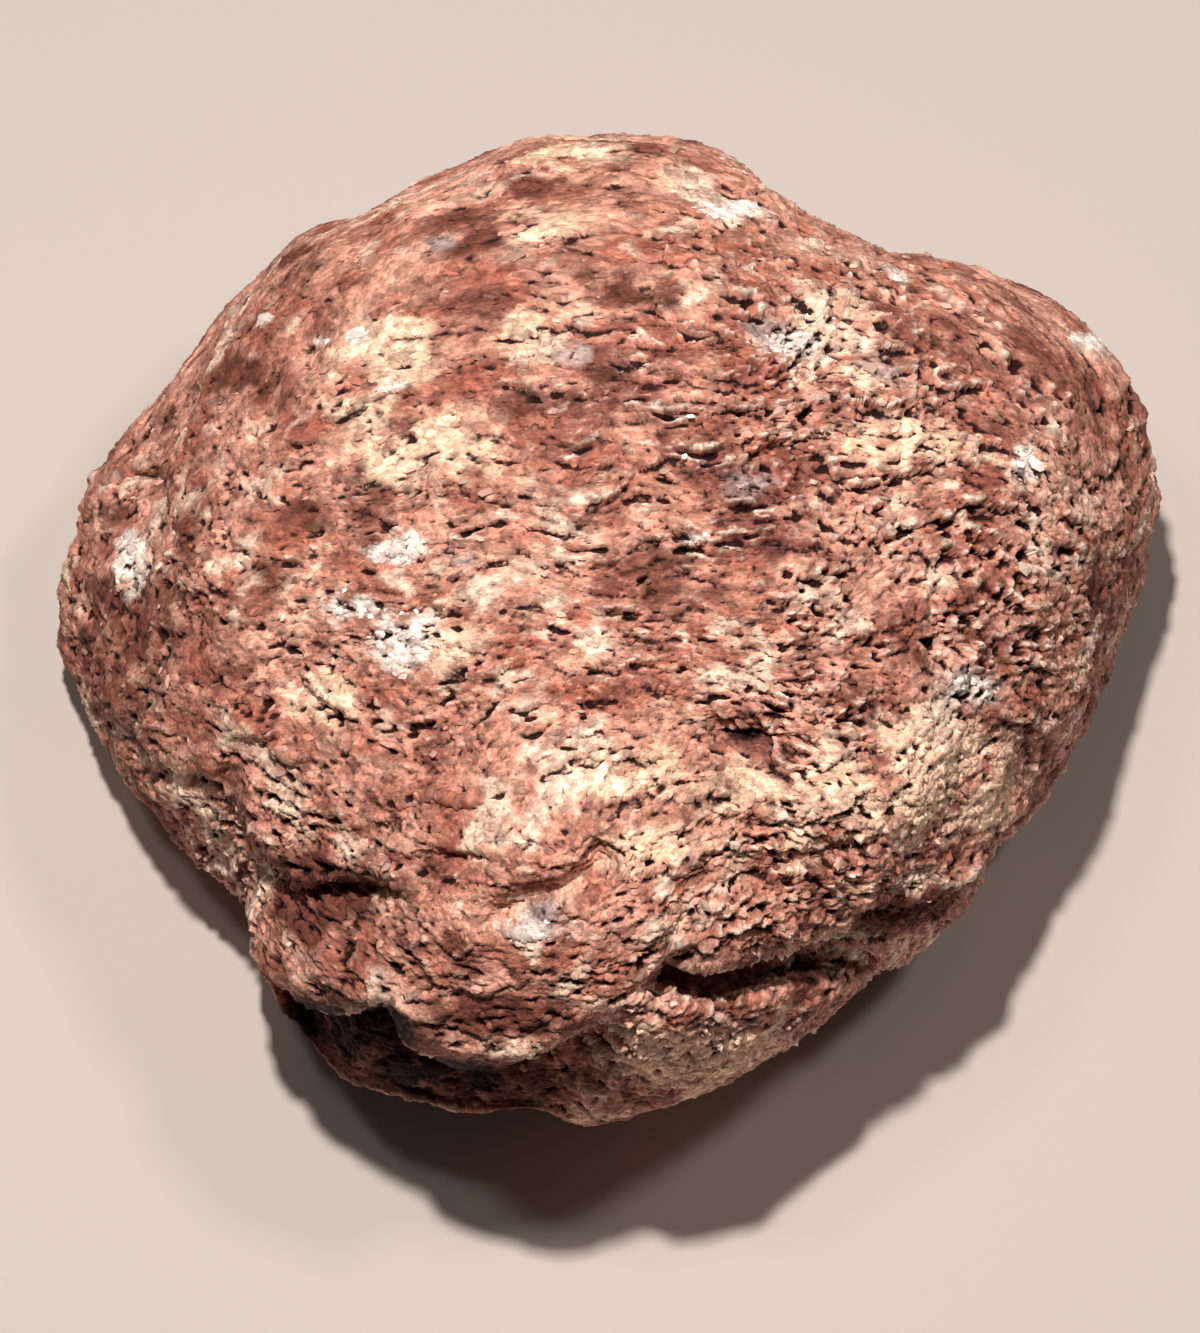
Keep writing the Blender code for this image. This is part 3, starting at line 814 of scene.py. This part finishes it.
def bed_flakes(points, squares, layers, measures, shift, material):
    """The sets of loose flakes, each one piece that takes its measures from the skin under it."""
    normals = point_normals(points, squares)
    body = (points - shift) @ FACE_AXES.T
    dip = np.full(len(body), LAYER_DIP * ARCH_DROP)
    rising = unit(np.column_stack([body[:, 0], body[:, 1] + ARCH_DROP, dip])) @ FACE_AXES
    show = HIDDEN_SIDE_SHARE + (1 - HIDDEN_SIDE_SHARE) * smooth_step(normals @ OUT, *SHOW_EDGE)
    show = show * (points[:, 2] > FLAKE_FLOOR_GAP)
    pale = np.maximum(measures["quartz"], OCHRE_PALENESS * measures["ochre_and_light"]) + LEAST_PALENESS
    for number, (name, count, length, width, thickness, lean, keeps_to_pale) in enumerate(FLAKE_SETS):
        dice = np.random.default_rng(FLAKE_SEED + number)
        spots = scattered_places(points, squares, count, show * (pale if keeps_to_pale else 1), dice)
        flake_points, faces = flakes(
            between_corners(points, *spots), unit(between_corners(normals, *spots)),
            unit(between_corners(rising, *spots)), length, width, thickness, lean, dice)
        flake_points[:, 2] = np.maximum(flake_points[:, 2], 0)
        own = {measure: between_corners(values, *spots) for measure, values in measures.items()}
        own["tone"] = dice.normal(0, FLAKE_TONE_SPREAD, count)
        own["crest"] = own["crest"] + FLAKE_CREST
        own["stain_and_shade"] = own["stain_and_shade"] + dice.normal(0, FLAKE_STAIN_SPREAD, count)
        own["quartz"] = own["quartz"] + dice.normal(0, FLAKE_QUARTZ_SPREAD, count)
        if keeps_to_pale:
            own["quartz"] += PALE_FLAKE_QUARTZ
        per_flake = FLAKE_CORNERS + 2
        own = {measure: np.repeat(values, per_flake) for measure, values in own.items()}
        flake_layers = np.repeat(between_corners(layers, *spots), per_flake, axis=0)
        mesh_piece(name, flake_points, faces, flake_layers, own, material)


def linear(hex_colour):
    """The linear red, green, blue and alpha of an sRGB hex colour."""
    parts = [int(hex_colour[start:start + 2], 16) / 255 for start in (0, 2, 4)]
    return [part / 12.92 if part <= 0.04045 else ((part + 0.055) / 1.055) ** 2.4 for part in parts] + [1.0]


def add_node(tree, kind, settings=None, **inputs):
    """A shader node with its settings, and its inputs linked to sockets or set to values.

    An input is given by its name, or as i0, i1 and so on by its place where names repeat.
    """
    node = tree.nodes.new(kind)
    for name, value in (settings or {}).items():
        setattr(node, name, value)
    for name, value in inputs.items():
        socket = node.inputs[int(name[1:]) if name[0] == "i" and name[1:].isdigit() else name]
        if isinstance(value, bpy.types.NodeSocket):
            tree.links.new(value, socket)
        else:
            socket.default_value = value
    return node


def rust_stained_quartz_crust():
    """Sugary quartz under a skin of iron oxide: dull terracotta and salmon, cream crests, dark red hollows.
    The crests' cream is partly a painted highlight and the hollows' red partly painted shade, and some stain,
    ochre and dark patches paint shade and light too.

    Tiny quartz faces give it a faint glint, and everywhere else the rust powder keeps it matt.
    """
    material = bpy.data.materials.new("rust_stained_quartz_crust")
    material.use_nodes = True
    tree = material.node_tree
    shader = tree.nodes["Principled BSDF"]

    # The patterns lie along the quartz layers, as the grains of the mesh do
    layers = add_node(tree, "ShaderNodeAttribute", {"attribute_name": "layers"}).outputs["Vector"]
    stretch = [1 / share for share in GRAIN_STRETCH]
    places = add_node(
        tree, "ShaderNodeVectorMath", {"operation": "MULTIPLY"}, i0=layers, i1=stretch).outputs[0]
    mottle, speckle, grit = (
        add_node(
            tree, "ShaderNodeTexNoise",
            Vector=places, Scale=1 / size, Detail=detail, Roughness=rough).outputs[0]
        for size, detail, rough in ((MOTTLE, 5.0, 0.65), (SPECKLE, 6.0, 0.7), (FINE_GRIT, 2.0, 0.6))
    )
    grains = add_node(tree, "ShaderNodeTexVoronoi", Vector=places, Scale=1 / GRAIN)
    grain_gap, grain_tone = grains.outputs["Distance"], grains.outputs["Color"]

    # Each tint is laid over the last where its measure, torn by the speckle, is high enough
    share = add_node(
        tree, "ShaderNodeMapRange", {"interpolation_type": "SMOOTHSTEP"}, Value=mottle,
        **{"From Min": MOTTLE_EDGE[0], "From Max": MOTTLE_EDGE[1]}).outputs[0]
    colour = add_node(
        tree, "ShaderNodeMix", {"data_type": "RGBA"},
        i0=share, i6=linear(TERRACOTTA), i7=linear(SALMON)).outputs[2]
    tear = add_node(tree, "ShaderNodeMath", {"operation": "SUBTRACT"}, i0=speckle, i1=0.5).outputs[0]
    for measure, tint, start, full in TINTS:
        mask = add_node(tree, "ShaderNodeAttribute", {"attribute_name": measure}).outputs["Fac"]
        torn = add_node(
            tree, "ShaderNodeMath", {"operation": "MULTIPLY_ADD"}, i0=tear, i1=TINT_TEAR, i2=mask).outputs[0]
        share = add_node(
            tree, "ShaderNodeMapRange", {"interpolation_type": "SMOOTHSTEP"}, Value=torn,
            **{"From Min": start, "From Max": full}).outputs[0]
        colour = add_node(
            tree, "ShaderNodeMix", {"data_type": "RGBA"}, i0=share, i6=colour, i7=linear(tint)).outputs[2]

    # Grains, grit and flakes each have a tone of their own
    tone = add_node(
        tree, "ShaderNodeMapRange", Value=grain_tone,
        **{"From Min": 0.2, "From Max": 0.8, "To Min": GRAIN_TONES[0], "To Max": GRAIN_TONES[1]}).outputs[0]
    fine_tone = add_node(
        tree, "ShaderNodeMapRange", Value=grit,
        **{"From Min": 0.3, "From Max": 0.7, "To Min": GRIT_TONES[0], "To Max": GRIT_TONES[1]}).outputs[0]
    both = add_node(tree, "ShaderNodeMath", {"operation": "MULTIPLY"}, i0=tone, i1=fine_tone).outputs[0]
    flake_tone = add_node(tree, "ShaderNodeAttribute", {"attribute_name": "tone"}).outputs["Fac"]
    flake_tone = add_node(
        tree, "ShaderNodeMath", {"operation": "MULTIPLY_ADD"},
        i0=flake_tone, i1=FLAKE_TONE_SHARE, i2=1.0).outputs[0]
    both = add_node(tree, "ShaderNodeMath", {"operation": "MULTIPLY"}, i0=both, i1=flake_tone).outputs[0]
    colour = add_node(tree, "ShaderNodeVectorMath", {"operation": "SCALE"}, i0=colour, Scale=both).outputs[0]
    tree.links.new(colour, shader.inputs["Base Color"])

    # The powdery grains are dull, and the bare ones glint a little
    roughness = add_node(
        tree, "ShaderNodeMapRange", Value=grain_tone, **{"To Min": POWDERY, "To Max": BARE}).outputs[0]
    tree.links.new(roughness, shader.inputs["Roughness"])
    shader.inputs["IOR"].default_value = QUARTZ_IOR
    shader.inputs["Specular IOR Level"].default_value = POWDER_GLINT

    # The finest relief rounds the grains, and roughens them with grit
    rounded = add_node(
        tree, "ShaderNodeMath", {"operation": "MULTIPLY_ADD"},
        i0=grain_gap, i1=GAP_SINK, i2=speckle).outputs[0]
    height = add_node(
        tree, "ShaderNodeMath", {"operation": "MULTIPLY_ADD"}, i0=grit, i1=GRIT_RISE, i2=rounded).outputs[0]
    bump = add_node(tree, "ShaderNodeBump", Strength=1.0, Distance=BUMP_HEIGHT, Height=height)
    tree.links.new(bump.outputs[0], shader.inputs["Normal"])
    return material


def matt_floor_paint():
    """Matt emulsion paint in a warm pale grey: even and dull, so only the stone and its shadow show on it."""
    material = bpy.data.materials.new("matt_floor_paint")
    material.use_nodes = True
    shader = material.node_tree.nodes["Principled BSDF"]
    shader.inputs["Base Color"].default_value = linear(FLOOR_GREY)
    shader.inputs["Roughness"].default_value = FLOOR_ROUGHNESS
    return material


def floor():
    """The plain pale floor, a square wide enough to fill the view from any side."""
    mesh = bpy.data.meshes.new("floor")
    half = FLOOR_WIDTH / 2
    corners = [(-half, -half, 0), (half, -half, 0), (half, half, 0), (-half, half, 0)]
    mesh.from_pydata(corners, [], [(0, 1, 2, 3)])
    mesh.materials.append(matt_floor_paint())
    ground = bpy.data.objects.new("floor", mesh)
    bpy.context.scene.collection.objects.link(ground)


def soft_light(name, direction, size, watts):
    """A square area light that looks at the stone from the given direction."""
    light = bpy.data.lights.new(name, "AREA")
    light.size = size
    light.energy = watts
    light.color = linear(LAMP_WHITE)[:3]
    lamp = bpy.data.objects.new(name, light)
    towards = Vector(direction).normalized()
    lamp.location = towards * LIGHT_DISTANCE
    lamp.rotation_euler = towards.to_track_quat("Z", "Y").to_euler()
    bpy.context.scene.collection.objects.link(lamp)


def studio(shift):
    """The camera that looks square on the show face, the lights above the stone, and a dim room."""
    middle = PICTURE_MIDDLE @ FACE_AXES + shift
    camera = bpy.data.objects.new("camera", bpy.data.cameras.new("camera"))
    camera.data.sensor_width = SENSOR
    camera.data.lens = SENSOR * CAMERA_DISTANCE / PICTURE_HEIGHT
    camera.location = middle + CAMERA_DISTANCE * OUT
    camera.rotation_euler = (math.pi / 2 - FACE_TILT, 0, 0)
    bpy.context.scene.collection.objects.link(camera)
    bpy.context.scene.camera = camera
    for row in LIGHTS:
        soft_light(*row)
    world = bpy.data.worlds.new("room")
    world.use_nodes = True
    background = world.node_tree.nodes["Background"]
    background.inputs["Color"].default_value = linear(ROOM_WHITE)
    background.inputs["Strength"].default_value = ROOM_STRENGTH
    bpy.context.scene.world = world
    bpy.context.scene.view_settings.view_transform = "Standard"


crust = rust_stained_quartz_crust()
directions, points, squares, layers, measures, shift = dressed_skin()
skin_quarters(directions, points, squares, layers, measures, crust)
bed_flakes(points, squares, layers, measures, shift, crust)

floor()
studio(shift)
